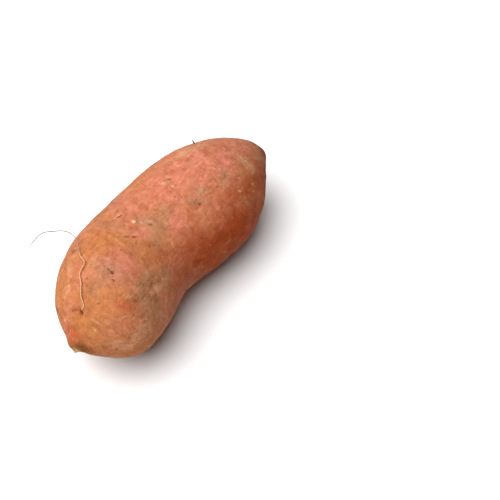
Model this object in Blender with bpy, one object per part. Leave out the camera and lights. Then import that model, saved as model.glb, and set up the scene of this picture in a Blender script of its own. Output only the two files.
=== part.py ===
"""Sweet potato: one whole storage root lying on its side, with the dried rootlets still on it.

Metres, +Z up.  The origin is on the small flat spot that the tuber rests on, straight under the
middle of its volume.  +X runs along the tuber to its crown, where it hung from the stem, and the
tail is at the -X end.

A place on the skin is a station and an angle.  The station runs from -1 at the tail to 1 at the
crown.  The angle goes round the tuber from its top (0) over its front, the -Y side (90 degrees).
"""

import math

import bmesh
import bpy
import numpy as np
from mathutils import Vector

# Overall sizes of the tuber, before its bends and the forms of its two ends.
LENGTH = 0.158
WIDTH = 0.070
HEIGHT = 0.065
REST_DEPTH = 0.0006  # how far the belly is pressed flat

# The tuber's outline: (station, value) pairs that smooth curves pass through.
FULLNESS = (  # radius over that of a plain ellipse
    (-1.00, 1.18),
    (-0.90, 1.25),
    (-0.75, 1.275),
    (-0.50, 1.155),
    (-0.15, 0.955),
    (0.30, 1.03),
    (0.55, 1.085),
    (0.82, 1.015),
    (1.00, 0.91),
)
SIDE_BEND = (  # how far the middle line swings to the front
    (-1.00, 0.0072),
    (-0.75, 0.0057),
    (-0.45, 0.0010),
    (-0.12, -0.0034),
    (0.20, -0.0002),
    (0.50, 0.0026),
    (1.00, 0.0036),
)
RISE = (  # how far the middle line lifts
    (-1.00, 0.0060),
    (-0.60, 0.0040),
    (-0.10, 0.0000),
    (0.40, 0.0030),
    (1.00, 0.0060),
)

# Cross-section: (waves round the tuber, share of the radius, phase and twist in degrees).
LOBES = (
    (2, 0.012, 40, 60),
    (3, 0.010, 100, -50),
    (5, 0.005, 20, 35),
)
# Broad swellings and hollows: (station, angle in degrees, height, spread).
SWELLINGS = (
    (-0.62, 20, 0.0008, 0.014),
    (-0.20, -30, 0.0006, 0.012),
    (0.10, 70, -0.0007, 0.013),
    (0.45, 0, 0.0007, 0.015),
    (0.72, 60, -0.0006, 0.009),
    (-0.35, 150, 0.0006, 0.014),
    (0.55, -120, 0.0009, 0.016),
    (-0.50, -100, -0.0007, 0.012),
    (0.20, -150, -0.0006, 0.012),
)
# Eyes, the shallow dents where rootlets grow or grew: (station, angle in degrees).
EYES = (
    (-0.87, 3),
    (-0.57, 6),
    (-0.27, 1),
    (-0.13, 0),
    (0.23, 24),
    (0.23, -13),
    (0.53, 19),
    (0.65, -47),
    (-0.48, 42),
    (-0.62, -76),
    (-0.12, -68),
    (0.36, -82),
    (-0.66, 112),
    (-0.22, 96),
    (0.20, 108),
    (0.60, 92),
    (-0.70, -140),
    (-0.34, -125),
    (0.10, -138),
    (0.52, -128),
    (-0.40, 150),
    (0.40, 160),
)
EYE_DEPTH = 0.0007
EYE_SPREAD = 0.0032

# The tail: the tuber draws out to a short nub where its thin end root broke off.
TAIL_LENGTH = 0.0030
TAIL_RADIUS = 0.0040
# The crown: a low ring of corky skin round the scar of the stem.
CROWN_RADIUS = 0.0062
CROWN_HEIGHT = 0.0008
CROWN_RIM = 0.0022

RINGS = 52
SIDES = 76

# Rootlets.  Each stands in a socket in its eye, clear of the socket's wall and floor.
CLEARANCE = 0.0003
SOCKET_DEPTH = 0.0014
SOCKET_SIDES = 16

HAIR_RADIUS = 0.00045
HAIR_TIP_SHARE = 0.55  # radius at the tip over radius at the foot
HAIR_STEP = 0.0022
# The hair root's route: (station, angle in degrees, height over the skin).
HAIR_ROUTE = (
    (-0.87, 3, 0.0011),
    (-0.825, 0, 0.0013),
    (-0.795, -9, 0.0013),
    (-0.74, -14, 0.0013),
    (-0.69, -20, 0.0012),
    (-0.62, -20, 0.0013),
    (-0.59, -28, 0.0015),
    (-0.515, -39, 0.0020),
    (-0.484, -45, 0.0026),
    (-0.473, -49, 0.0054),
    (-0.481, -52, 0.0083),
    (-0.505, -54, 0.0117),
    (-0.56, -55, 0.0174),
    (-0.62, -54, 0.0200),
    (-0.67, -50, 0.0226),
)
# Short dried stubs: (name, station, angle in degrees, length, lean to the crown in degrees).
STUBS = (
    ("root_stub_top", 0.65, -47, 0.0022, -25),
    ("root_stub_back", -0.34, -125, 0.0020, 20),
)
STUB_RADIUS = 0.00040

SKIN_COLOUR = (0.60, 0.25, 0.13, 1.0)
ROOTLET_COLOUR = (0.72, 0.50, 0.30, 1.0)


def smooth_through(stations, at):
    """The value at one place of a smooth curve through (place, value) pairs."""
    places, values = np.array(stations).T
    slopes = np.gradient(values, places)
    k = int(np.clip(np.searchsorted(places, at) - 1, 0, len(places) - 2))
    span = places[k + 1] - places[k]
    t = (at - places[k]) / span
    start = (1 + 2 * t) * (1 - t) ** 2 * values[k] + t * (1 - t) ** 2 * span * slopes[k]
    end = (3 - 2 * t) * t**2 * values[k + 1] + (t - 1) * t**2 * span * slopes[k + 1]
    return float(start + end)


def lobes(station, angle):
    """How much the cross-section differs from an ellipse there, as a share of the radius."""
    return sum(
        share * math.cos(waves * angle + math.radians(phase + twist * station))
        for waves, share, phase, twist in LOBES
    )


def apart(station, angle, station_2, angle_2):
    """The distance over the skin between two places, near enough for a dent or a swelling."""
    round_the_tuber = (angle - angle_2 + math.pi) % (2 * math.pi) - math.pi
    girth_share = math.sqrt(max(0.0, 1 - station**2))
    along = (station - station_2) * LENGTH / 2
    return math.hypot(along, round_the_tuber * girth_share * WIDTH / 2)


def relief(station, angle):
    """How far the skin stands out or in there, from the swellings and the eyes."""
    height = 0.0
    for at, degrees, top, spread in SWELLINGS:
        gap = apart(station, angle, at, math.radians(degrees))
        height += top * math.exp(-((gap / spread) ** 2))
    for at, degrees in EYES:
        gap = apart(station, angle, at, math.radians(degrees))
        height -= EYE_DEPTH * math.exp(-((gap / EYE_SPREAD) ** 2))
    return height


def end_form(station, radius):
    """How far the tail's nub and the crown's ring stand out along the tuber at that radius."""
    if station < 0:
        return -TAIL_LENGTH * math.exp(-((radius / TAIL_RADIUS) ** 2))
    return CROWN_HEIGHT * math.exp(-(((radius - CROWN_RADIUS) / CROWN_RIM) ** 2))


def skin_point(station, angle):
    """The point of the skin at that station and angle, before the tuber is set on its flat spot."""
    round_end = math.sqrt(max(0.0, 1 - station**2))
    share = round_end * smooth_through(FULLNESS, station) * (1 + lobes(station, angle))
    bulge = relief(station, angle) * min(1.0, 3 * round_end)
    across = WIDTH / 2 * share + bulge
    up = HEIGHT / 2 * share + bulge
    return Vector(
        (
            LENGTH / 2 * station + end_form(station, WIDTH / 2 * share),
            -smooth_through(SIDE_BEND, station) - across * math.sin(angle),
            smooth_through(RISE, station) + up * math.cos(angle),
        )
    )


def skin_normal(station, angle):
    """The outward direction of the skin there."""
    step = 0.01
    along = skin_point(station + step, angle) - skin_point(station - step, angle)
    around = skin_point(station, angle + step) - skin_point(station, angle - step)
    return around.cross(along).normalized()


def above_skin(station, degrees, height):
    """A point at that height over the skin."""
    angle = math.radians(degrees)
    return skin_point(station, angle) + skin_normal(station, angle) * height


def material(name, colour, roughness):
    """A plain material of one colour."""
    made = bpy.data.materials.new(name)
    made.use_nodes = True
    shader = made.node_tree.nodes["Principled BSDF"]
    shader.inputs["Base Color"].default_value = colour
    shader.inputs["Roughness"].default_value = roughness
    shader.inputs["Metallic"].default_value = 0.0
    return made


def add_object(name, data, parent=None, finish=None):
    """An object in the scene, with its parent and material."""
    made = bpy.data.objects.new(name, data)
    bpy.context.scene.collection.objects.link(made)
    made.parent = parent
    if finish:
        made.data.materials.append(finish)
    return made


def tuber_mesh():
    """The tuber's closed skin: a sphere with its poles at the ends, each point moved to its place."""
    bm = bmesh.new()
    bmesh.ops.create_uvsphere(bm, u_segments=SIDES, v_segments=RINGS, radius=1.0)
    for vertex in bm.verts:
        out_y, up_z, station = vertex.co
        vertex.co = skin_point(min(1.0, max(-1.0, station)), math.atan2(out_y, up_z))
    bmesh.ops.recalc_face_normals(bm, faces=bm.faces)
    bmesh.ops.triangulate(bm, faces=bm.faces)
    mesh = bpy.data.meshes.new("tuber")
    bm.to_mesh(mesh)
    bm.free()
    mesh.shade_smooth()
    return mesh


def centre_of_volume(mesh):
    """The middle of the volume inside a closed mesh of triangles."""
    total, weighted = 0.0, Vector()
    for face in mesh.polygons:
        a, b, c = (mesh.vertices[k].co for k in face.vertices)
        volume = a.dot(b.cross(c)) / 6
        total += volume
        weighted += volume * (a + b + c) / 4
    return weighted / total


def rest_place(mesh):
    """Where the tuber stands: its middle over the origin and its belly pressed into the ground."""
    middle = centre_of_volume(mesh)
    lowest = min(vertex.co.z for vertex in mesh.vertices)
    return Vector((-middle.x, -middle.y, -lowest - REST_DEPTH))


def cut_away(body, cutter):
    """Takes the cutter's shape out of the body, and hides the cutter."""
    cutter.hide_render = True
    cutter.display_type = "WIRE"
    boolean = body.modifiers.new(cutter.name, "BOOLEAN")
    boolean.operation = "DIFFERENCE"
    boolean.solver = "EXACT"
    boolean.object = cutter


def ground_cutter():
    """A block whose top is the ground, which presses the flat spot on the belly."""
    thickness = WIDTH / 2
    bm = bmesh.new()
    bmesh.ops.create_cube(bm, size=1.0)
    bmesh.ops.scale(bm, vec=(2 * LENGTH, 2 * WIDTH, thickness), verts=bm.verts)
    bmesh.ops.translate(bm, vec=(0, 0, -thickness / 2), verts=bm.verts)
    mesh = bpy.data.meshes.new("ground_cutter")
    bm.to_mesh(mesh)
    bm.free()
    return add_object("ground_cutter", mesh)


def socket_cutter(name, station, degrees, rootlet_radius, parent):
    """A short round peg that sinks a rootlet's socket into the skin."""
    height = 2 * SOCKET_DEPTH
    radius = rootlet_radius + CLEARANCE
    bm = bmesh.new()
    bmesh.ops.create_cone(
        bm,
        cap_ends=True,
        segments=SOCKET_SIDES,
        radius1=radius,
        radius2=radius,
        depth=height,
    )
    mesh = bpy.data.meshes.new(name)
    bm.to_mesh(mesh)
    bm.free()
    cutter = add_object(name, mesh, parent)
    angle = math.radians(degrees)
    cutter.location = skin_point(station, angle)
    cutter.rotation_euler = skin_normal(station, angle).to_track_quat("Z", "Y").to_euler()
    return cutter


def smooth_route(points, step):
    """Points about a step apart on a smooth curve through the route's own points."""
    lengths = [(b - a).length for a, b in zip(points, points[1:])]
    places = np.concatenate([[0.0], np.cumsum(lengths)])
    count = max(2, round(places[-1] / step))
    routes = [list(zip(places, [p[axis] for p in points])) for axis in range(3)]
    return [
        Vector([smooth_through(route, at) for route in routes])
        for at in np.linspace(0.0, places[-1], count + 1)
    ]


def root_tube(name, points, foot_radius, tip_share, parent, finish):
    """A thin root along the points, tapering from its foot to its tip."""
    curve = bpy.data.curves.new(name, "CURVE")
    curve.dimensions = "3D"
    curve.bevel_depth = foot_radius
    curve.bevel_resolution = 2
    curve.use_fill_caps = True
    spline = curve.splines.new("POLY")
    spline.points.add(len(points) - 1)
    for k, (spot, point) in enumerate(zip(spline.points, points)):
        along = k / (len(points) - 1)
        spot.co = (*point, 1.0)
        spot.radius = 1.0 + (tip_share - 1.0) * along
    return add_object(name, curve, parent, finish)


def hair_root(parent, finish):
    """The long dried hair root, out of its eye and along the skin, then free of it."""
    station, degrees, _ = HAIR_ROUTE[0]
    foot = above_skin(station, degrees, CLEARANCE - SOCKET_DEPTH)
    through = [above_skin(*place) for place in HAIR_ROUTE]
    points = [foot] + smooth_route(through, HAIR_STEP)
    return root_tube("hair_root", points, HAIR_RADIUS, HAIR_TIP_SHARE, parent, finish)


def root_stub(name, station, degrees, length, lean, parent, finish):
    """A short dried stub that stands in its socket and leans along the tuber."""
    angle = math.radians(degrees)
    out = skin_normal(station, angle)
    along = (skin_point(station + 0.01, angle) - skin_point(station, angle)).normalized()
    foot = above_skin(station, degrees, CLEARANCE - SOCKET_DEPTH)
    neck = above_skin(station, degrees, CLEARANCE)
    tilt = math.radians(lean)
    tip = neck + (out * math.cos(tilt) + along * math.sin(tilt)) * length
    return root_tube(name, [foot, neck, tip], STUB_RADIUS, 0.6, parent, finish)


def main():
    for old in list(bpy.data.objects):
        bpy.data.objects.remove(old)
    skin = material("skin", SKIN_COLOUR, 0.6)
    rootlet = material("rootlet", ROOTLET_COLOUR, 0.8)

    mesh = tuber_mesh()
    stand = add_object("sweet_potato", None)
    stand.location = rest_place(mesh)
    tuber = add_object("tuber", mesh, stand, skin)
    cut_away(tuber, ground_cutter())

    station, degrees, _ = HAIR_ROUTE[0]
    cut_away(tuber, socket_cutter("hair_socket", station, degrees, HAIR_RADIUS, stand))
    hair_root(stand, rootlet)
    for name, station, degrees, length, lean in STUBS:
        cutter = socket_cutter(name + "_socket", station, degrees, STUB_RADIUS, stand)
        cut_away(tuber, cutter)
        root_stub(name, station, degrees, length, lean, stand, rootlet)


main()
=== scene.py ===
"""A whole sweet potato lying on its side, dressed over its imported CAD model.

Metres, +Z up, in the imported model's own frame: the tail is at -X and the crown at +X.

A place on the skin is two numbers: its share of the way from the tail (0) to the crown (1),
measured over the skin, and the degrees round from the top (0) over the front, the -Y side (90).
"""

import logging
import math
from dataclasses import dataclass, field
from enum import Enum
from itertools import product

import bpy
import numpy as np
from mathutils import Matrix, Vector
from mathutils.bvhtree import BVHTree


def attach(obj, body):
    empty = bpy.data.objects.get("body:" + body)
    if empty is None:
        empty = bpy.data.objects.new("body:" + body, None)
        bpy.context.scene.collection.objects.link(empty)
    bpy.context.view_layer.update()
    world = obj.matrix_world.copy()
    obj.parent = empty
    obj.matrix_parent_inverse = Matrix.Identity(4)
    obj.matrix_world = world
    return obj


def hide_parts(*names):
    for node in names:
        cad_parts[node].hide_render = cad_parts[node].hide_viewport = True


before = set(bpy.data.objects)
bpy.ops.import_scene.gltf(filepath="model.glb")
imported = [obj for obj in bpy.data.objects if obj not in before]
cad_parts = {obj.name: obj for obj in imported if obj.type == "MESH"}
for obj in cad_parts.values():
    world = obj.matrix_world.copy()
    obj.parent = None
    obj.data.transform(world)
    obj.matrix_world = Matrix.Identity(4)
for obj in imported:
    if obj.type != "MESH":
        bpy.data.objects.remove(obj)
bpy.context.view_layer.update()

log = logging.getLogger("sweet_potato")

Colour = tuple[float, float, float]
Point = tuple[float, float, float]
Socket = bpy.types.NodeSocket
Feed = Socket | float | Colour

BODY = "root"
MILLIMETRE = 0.001
# The ribs of a dried rootlet: how long they are, and their height as a share of its radius.
RIB_SIZE = 0.0011
RIB_HEIGHT = 0.35
CURVE_STEPS = 24


# ---- Small tools ----


def fade_between(value: np.ndarray, low: float, high: float) -> np.ndarray:
    """Rises smoothly from 0, where the value is low, to 1, where it is high."""
    share = np.clip((value - low) / (high - low), 0.0, 1.0)
    return share * share * (3 - 2 * share)


def bell(*shares: np.ndarray) -> np.ndarray:
    """A smooth hump of height 1. The shares say how far off a point is, in hump sizes."""
    return np.exp(-sum(share**2 for share in shares))


def link(name: str, data: bpy.types.ID) -> bpy.types.Object:
    """Puts new data into the scene.

    Args:
        name: the object's name.
        data: its mesh, light or camera.

    Returns:
        The object.
    """
    made = bpy.data.objects.new(name, data)
    bpy.context.scene.collection.objects.link(made)
    return made


def fit_piece(
    mesh: bpy.types.Mesh, dress: bpy.types.Material, node: str
) -> bpy.types.Object:
    """Dresses a finished mesh and rides it on the body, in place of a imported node.

    Args:
        mesh: the piece's mesh, whose name the piece takes.
        dress: its material.
        node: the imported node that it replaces.

    Returns:
        The finished piece.
    """
    piece = link(mesh.name, mesh)
    mesh.materials.append(dress)
    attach(piece, BODY)
    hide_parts(node)
    return piece


class SolidNoise:
    """Smooth bumpy noise through space, the same on each run."""

    # How many slopes it draws, and how far apart its layers are read.
    count = 256
    layer_offset = 31.7

    def __init__(self, seed: int) -> None:
        """Draws the noise's own slopes.

        Args:
            seed: picks one noise among many.
        """
        draw = np.random.default_rng(seed)
        slopes = draw.normal(size=(self.count, 3))
        self.slopes = slopes / np.linalg.norm(slopes, axis=1, keepdims=True)
        self.order = draw.permutation(self.count)

    def once(self, points: np.ndarray) -> np.ndarray:
        """One layer of noise whose bumps are about one unit across.

        Args:
            points: places, one in each row.

        Returns:
            Heights from about -0.7 to 0.7.
        """
        cell = np.floor(points).astype(int)
        inside = points - cell
        blend = inside**3 * (inside * (inside * 6 - 15) + 10)
        total = np.zeros(len(points))
        for corner in product((0, 1), repeat=3):
            key = cell + np.array(corner)
            pick = 0
            for axis in range(3):
                pick = self.order[(pick + key[:, axis]) % self.count]
            rise = np.einsum("ij,ij->i", self.slopes[pick], inside - np.array(corner))
            weight = np.prod(np.where(np.array(corner) == 1, blend, 1 - blend), axis=1)
            total += rise * weight
        return total

    def layered(self, points: np.ndarray, size: float, layers: int = 3) -> np.ndarray:
        """Several layers, each half the size and half the height of the one before.

        Args:
            points: places in metres, one in each row.
            size: how wide the widest bumps are, in metres.
            layers: how many layers there are.

        Returns:
            Heights from about -1 to 1.
        """
        total = np.zeros(len(points))
        for layer in range(layers):
            total += self.once(points / size * 2**layer + self.layer_offset * layer) / 2**layer
        return total


class NodeSketch:
    """One material's nodes, joined up a few words at a time, and its colour so far."""

    # The mix node's colour sockets share their names with others, so they go by number.
    mix_under, mix_over, mix_result = 6, 7, 2

    def __init__(self, name: str, colour: Colour) -> None:
        """Starts a material.

        Args:
            name: the material's name.
            colour: the colour that the others are laid over.
        """
        self.colour: Feed = colour
        self.material = bpy.data.materials.new(name)
        self.material.use_nodes = True
        self.tree = self.material.node_tree
        self.shader = self.tree.nodes["Principled BSDF"]
        self.place = self.tree.nodes.new("ShaderNodeTexCoord").outputs["Object"]

    def feed(self, socket: Socket, value: Feed) -> None:
        """Joins a socket to another, or sets it to a number or a colour.

        Args:
            socket: the socket that is fed.
            value: what feeds it.
        """
        if isinstance(value, bpy.types.NodeSocket):
            self.tree.links.new(value, socket)
        elif isinstance(value, tuple) and len(value) == 3 and socket.type == "RGBA":
            socket.default_value = (*value, 1.0)
        else:
            socket.default_value = value

    def node(self, kind: str, inputs: dict[str | int, Feed]) -> bpy.types.Node:
        """Makes one node and feeds its inputs.

        Args:
            kind: the end of its type's name.
            inputs: what feeds each input, by the input's name or number.

        Returns:
            The node.
        """
        node = self.tree.nodes.new(f"ShaderNode{kind}")
        for name, value in inputs.items():
            self.feed(node.inputs[name], value)
        return node

    def stretched(self, scale: Point) -> Socket:
        """The object's own coordinates, each axis multiplied by its share of the scale."""
        return self.node("Mapping", {"Vector": self.place, "Scale": scale}).outputs["Vector"]

    def noise(
        self,
        size: float,
        detail: float = 2.0,
        roughness: float = 0.5,
        where: Socket | None = None,
        warp: float = 0.0,
    ) -> Socket:
        """Soft noise from 0 to 1.

        Args:
            size: how wide its bumps are, in metres.
            detail: how many finer layers it has.
            roughness: how strong the finer layers are.
            where: the coordinates it is read at.
            warp: how much it is twisted.

        Returns:
            The noise.
        """
        inputs = {"Vector": where or self.place, "Scale": 1 / size, "Detail": detail}
        inputs |= {"Roughness": roughness, "Distortion": warp}
        return self.node("TexNoise", inputs).outputs["Fac"]

    def cells(self, size: float) -> tuple[Socket, Socket]:
        """Scattered cells of that size: how far off the nearest middle is, and its own colour."""
        node = self.node("TexVoronoi", {"Vector": self.place, "Scale": 1 / size})
        return node.outputs["Distance"], node.outputs["Color"]

    def painted(self, name: str) -> Socket:
        """A value stored at each point of the mesh.

        Args:
            name: the attribute's name.

        Returns:
            The value.
        """
        node = self.node("Attribute", {})
        node.attribute_name = name
        return node.outputs["Fac"]

    def between(
        self, value: Socket, low: float, high: float, start: float = 0.0, end: float = 1.0
    ) -> Socket:
        """Carries one range smoothly over to another and holds it there.

        Args:
            value: the number to carry over.
            low: its value where the result is start.
            high: its value where the result is end.
            start: the result at low.
            end: the result at high.

        Returns:
            The result.
        """
        inputs = {"Value": value, "From Min": low, "From Max": high, "To Min": start, "To Max": end}
        node = self.node("MapRange", inputs)
        node.interpolation_type = "SMOOTHSTEP"
        return node.outputs["Result"]

    def sum_up(self, operation: str, first: Feed, second: Feed) -> Socket:
        """One sum.

        Args:
            operation: the name of Blender's math operation.
            first: its first number.
            second: its second number.

        Returns:
            The result.
        """
        node = self.node("Math", {0: first, 1: second})
        node.operation = operation
        return node.outputs["Value"]

    def product(self, *values: Feed) -> Socket:
        """Several values multiplied together.

        Args:
            values: the values, at least one of them a socket.

        Returns:
            The result.
        """
        result = values[0]
        for value in values[1:]:
            result = self.sum_up("MULTIPLY", result, value)
        return result

    def lay(self, over: Feed, amount: Feed, blend: str = "MIX") -> None:
        """Lays one more colour over the colour so far.

        Args:
            over: the colour on top.
            amount: how much of it is laid on.
            blend: how the two are blended.
        """
        inputs = {"Factor": amount, self.mix_under: self.colour, self.mix_over: over}
        node = self.node("Mix", inputs)
        node.data_type = "RGBA"
        node.blend_type = blend
        node.clamp_factor = True
        self.colour = node.outputs[self.mix_result]

    def bumped(self, height: Socket, depth: float, after: Socket | None = None) -> Socket:
        """A surface direction roughened by a height.

        Args:
            height: the height, from 0 to 1.
            depth: how many metres the whole range of heights is.
            after: a direction that was roughened already.

        Returns:
            The new direction.
        """
        inputs = {"Height": height, "Distance": depth}
        if after is not None:
            inputs["Normal"] = after
        return self.node("Bump", inputs).outputs["Normal"]

    def dress(self, roughness: Feed, direction: Socket | None = None) -> bpy.types.Material:
        """Finishes the material with its colour so far.

        Args:
            roughness: how matt it is.
            direction: its roughened surface direction, if it has one.

        Returns:
            The material.
        """
        self.feed(self.shader.inputs["Base Color"], self.colour)
        self.feed(self.shader.inputs["Roughness"], roughness)
        if direction is not None:
            self.feed(self.shader.inputs["Normal"], direction)
        return self.material


# ---- Finishes ----


@dataclass(frozen=True)
class SkinFinish:
    """The tuber's thin skin: salmon to orange-tan, mottled, flecked and dusty in patches, with
    painted shade in its hollows and on its front.
    """

    salmon: Colour = (0.412, 0.137, 0.072)
    orange: Colour = (0.395, 0.142, 0.046)
    rose: Colour = (0.450, 0.142, 0.086)
    red: Colour = (0.380, 0.084, 0.036)
    # Painted shade in the creases and the eyes' bowls.
    shade_brick: Colour = (0.250, 0.058, 0.022)
    # Painted shade: the darker burnt orange laid on the front of the crown half, for the shade on
    # that side.
    painted_shade: Colour = (0.262, 0.035, 0.003)
    tan: Colour = (0.335, 0.145, 0.068)
    dust: Colour = (0.320, 0.160, 0.095)
    fleck: Colour = (0.560, 0.270, 0.165)
    # What a darker fleck, a paler fleck and a scar multiply the skin's colour by.
    darker: Colour = (0.62, 0.54, 0.48)
    paler: Colour = (1.32, 1.50, 1.68)
    scar: Colour = (0.36, 0.19, 0.09)
    cream: Colour = (0.700, 0.470, 0.280)
    bare: Colour = (0.450, 0.205, 0.108)
    # Olive marks, also laid as the hair root's painted shadow.
    olive: Colour = (0.110, 0.070, 0.030)
    # The bark of the tail and the crown, also laid as painted shade on the crown's front edge.
    bark: Colour = (0.135, 0.046, 0.012)
    straw: Colour = (0.480, 0.330, 0.140)
    cork: Colour = (0.240, 0.120, 0.060)
    gloss: float = 0.03
    # The most that a tint's broken edge moves, up or down, and the scars' own.
    edge_break: float = 0.42
    scar_break: float = 0.30
    # How many metres wide each layer of mottling is.
    broad_size: float = 0.030
    worn_size: float = 0.0085
    ruddy_size: float = 0.0060
    blotch_size: float = 0.0052
    mottle_size: float = 0.0024
    stroke_size: float = 0.0012
    crease_size: float = 0.0013
    # Bumps, from wide wrinkles to grains: metres wide and metres high.
    wrinkle: tuple[float, float] = (0.0018, 0.00045)
    furrow: tuple[float, float] = (0.0014, 0.00030)
    grain: tuple[float, float] = (0.0008, 0.00018)
    # How the coordinates are stretched for what runs along the tuber, for what runs round it,
    # and for the widest wrinkles.
    lengthways: Point = (0.30, 1.0, 1.0)
    crosswise: Point = (1.0, 0.34, 0.34)
    wrinkle_way: Point = (1.0, 0.35, 0.35)

    def material(self) -> bpy.types.Material:
        """Builds the skin's material.

        Returns:
            The material, which reads the marks stored on the tuber's mesh.
        """
        sketch = NodeSketch("sweet_potato_skin", self.salmon)
        self._ground(sketch)
        self._speckles(sketch)
        self._marks(sketch)
        sketch.shader.inputs["Specular IOR Level"].default_value = self.gloss
        return sketch.dress(self._roughness(sketch), self._grain(sketch))

    def _ground(self, sketch: NodeSketch) -> None:
        """Lays the skin's broad colours, before anything fine.

        Args:
            sketch: the material's nodes.
        """
        broad = sketch.between(sketch.noise(self.broad_size, 3, 0.5, warp=0.4), 0.40, 0.64)
        sketch.lay(self.orange, sketch.product(broad, 0.7))
        # Painted shade on the front of the crown half.
        sketch.lay(self.painted_shade, sketch.product(sketch.painted("painted_shade"), 0.90))
        broken, patchy, cracked = (
            sketch.between(noise, 0.33, 0.67, -self.edge_break, self.edge_break)
            for noise in (
                sketch.noise(0.0046, 5, 0.64, warp=0.6),
                sketch.noise(0.0024, 5, 0.68, warp=0.5),
                sketch.noise(0.0016, 4, 0.65, warp=0.4),
            )
        )
        # Each tint's stored name, its colour, what breaks its edge up and its strength.
        for name, paint, breakup, strength in (
            ("orange", self.orange, broken, 0.90),
            ("rose", self.rose, broken, 0.85),
            ("red", self.red, patchy, 0.80),
            ("tan", self.tan, broken, 0.90),
            ("dust", self.dust, patchy, 0.60),
            ("bare", self.bare, patchy, 0.85),
            ("crown", self.cork, cracked, 0.90),
            ("bark", self.bark, cracked, 0.90),
            ("straw", self.straw, cracked, 1.00),
            ("olive", self.olive, cracked, 0.85),
        ):
            sketch.lay(paint, self._patch(sketch, name, breakup, strength))
        worn = sketch.between(sketch.noise(self.worn_size, 5, 0.62, warp=0.8), 0.53, 0.68)
        sketch.lay(self.tan, sketch.product(worn, 0.34))
        ruddy = sketch.between(sketch.noise(self.ruddy_size, 5, 0.65, warp=0.4), 0.52, 0.70)
        sketch.lay(self.red, sketch.product(ruddy, 0.34))

    def _patch(self, sketch: NodeSketch, name: str, breakup: Socket, strength: float) -> Socket:
        """How strongly a stored tint shows: half as a soft patch, half with a broken edge.

        Args:
            sketch: the material's nodes.
            name: the tint's stored value.
            breakup: what breaks its edge up, below and above 0.
            strength: its strength in the middle of a patch.

        Returns:
            The amount.
        """
        stored = sketch.painted(name)
        broken = sketch.between(sketch.sum_up("ADD", stored, breakup), 0.28, 0.66)
        held = sketch.product(broken, sketch.between(stored, 0.0, 0.30))
        return sketch.product(sketch.sum_up("ADD", held, stored), 0.5 * strength)

    def _speckles(self, sketch: NodeSketch) -> None:
        """Lays the fine mottling, pale flecks and dark specks.

        Args:
            sketch: the material's nodes.
        """
        blotch = sketch.noise(self.blotch_size, 4, 0.6, warp=0.6)
        mottle = sketch.noise(self.mottle_size, 5, 0.68, warp=0.3)
        lengthways, crosswise = sketch.stretched(self.lengthways), sketch.stretched(self.crosswise)
        strokes = sketch.noise(self.stroke_size, 3, 0.55, where=lengthways)
        creases = sketch.noise(self.crease_size, 3, 0.55, where=crosswise)
        scuffed = sketch.sum_up("ADD", sketch.painted("scuff"), 0.22)
        # Each noise, where its tint begins and where it is full, its strength and the tint.
        for noise, begins, full, strength, tint in (
            (blotch, 0.52, 0.34, 0.42, self.darker),
            (blotch, 0.52, 0.68, 0.38, self.paler),
            (mottle, 0.50, 0.30, 0.54, self.darker),
            (mottle, 0.52, 0.70, 0.50, self.paler),
            (creases, 0.58, 0.72, 0.46, self.darker),
            (strokes, 0.58, 0.70, scuffed, self.paler),
        ):
            amount = sketch.product(sketch.between(noise, begins, full), strength)
            sketch.lay(tint, amount, "MULTIPLY")
        # Small scattered dots, one in about every third cell.
        for apart, paint, strength in ((0.0034, self.bark, 0.60), (0.0023, self.fleck, 0.45)):
            distance, tint = sketch.cells(apart)
            chosen = sketch.between(tint, 0.66, 0.69)
            spot = sketch.between(distance, 0.22, 0.10)
            sketch.lay(paint, sketch.product(chosen, spot, strength))

    def _marks(self, sketch: NodeSketch) -> None:
        """Lays the small marks stored on the mesh: painted shade in creases and eye bowls, pale
        scratches, eyes and scars.

        Args:
            sketch: the material's nodes.
        """
        # Painted shade: brick red laid in the creases and the eyes' bowls.
        sketch.lay(self.shade_brick, sketch.product(sketch.painted("hollow"), 0.50))
        sketch.lay(self.cream, sketch.product(sketch.painted("pale"), 0.85))
        noise = sketch.noise(0.0009, 3, 0.6)
        frayed = sketch.between(noise, 0.25, 0.75, -self.scar_break, self.scar_break)
        scarred = sketch.between(sketch.sum_up("ADD", sketch.painted("dark"), frayed), 0.15, 1.20)
        sketch.lay(self.scar, scarred, "MULTIPLY")

    def _roughness(self, sketch: NodeSketch) -> Socket:
        """How matt the skin is, drier where it is dusty or corky.

        Args:
            sketch: the material's nodes.

        Returns:
            The roughness.
        """
        value = sketch.between(sketch.noise(0.0032, 4, 0.6), 0.3, 0.7, 0.46, 0.64)
        for name, extra in (("dust", 0.22), ("tan", 0.15), ("crown", 0.25), ("bark", 0.2)):
            value = sketch.sum_up("ADD", value, sketch.product(sketch.painted(name), extra))
        return sketch.sum_up("MINIMUM", value, 0.95)

    def _grain(self, sketch: NodeSketch) -> Socket:
        """The finest wrinkles and grains, below what the mesh holds.

        Args:
            sketch: the material's nodes.

        Returns:
            The roughened surface direction.
        """
        direction: Socket | None = None
        for (size, height), detail, where in (
            (self.wrinkle, 4, sketch.stretched(self.wrinkle_way)),
            (self.furrow, 3, sketch.stretched(self.lengthways)),
            (self.grain, 3, sketch.place),
        ):
            noise = sketch.noise(size, detail, 0.6, where=where)
            direction = sketch.bumped(noise, height, direction)
        return direction


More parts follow.
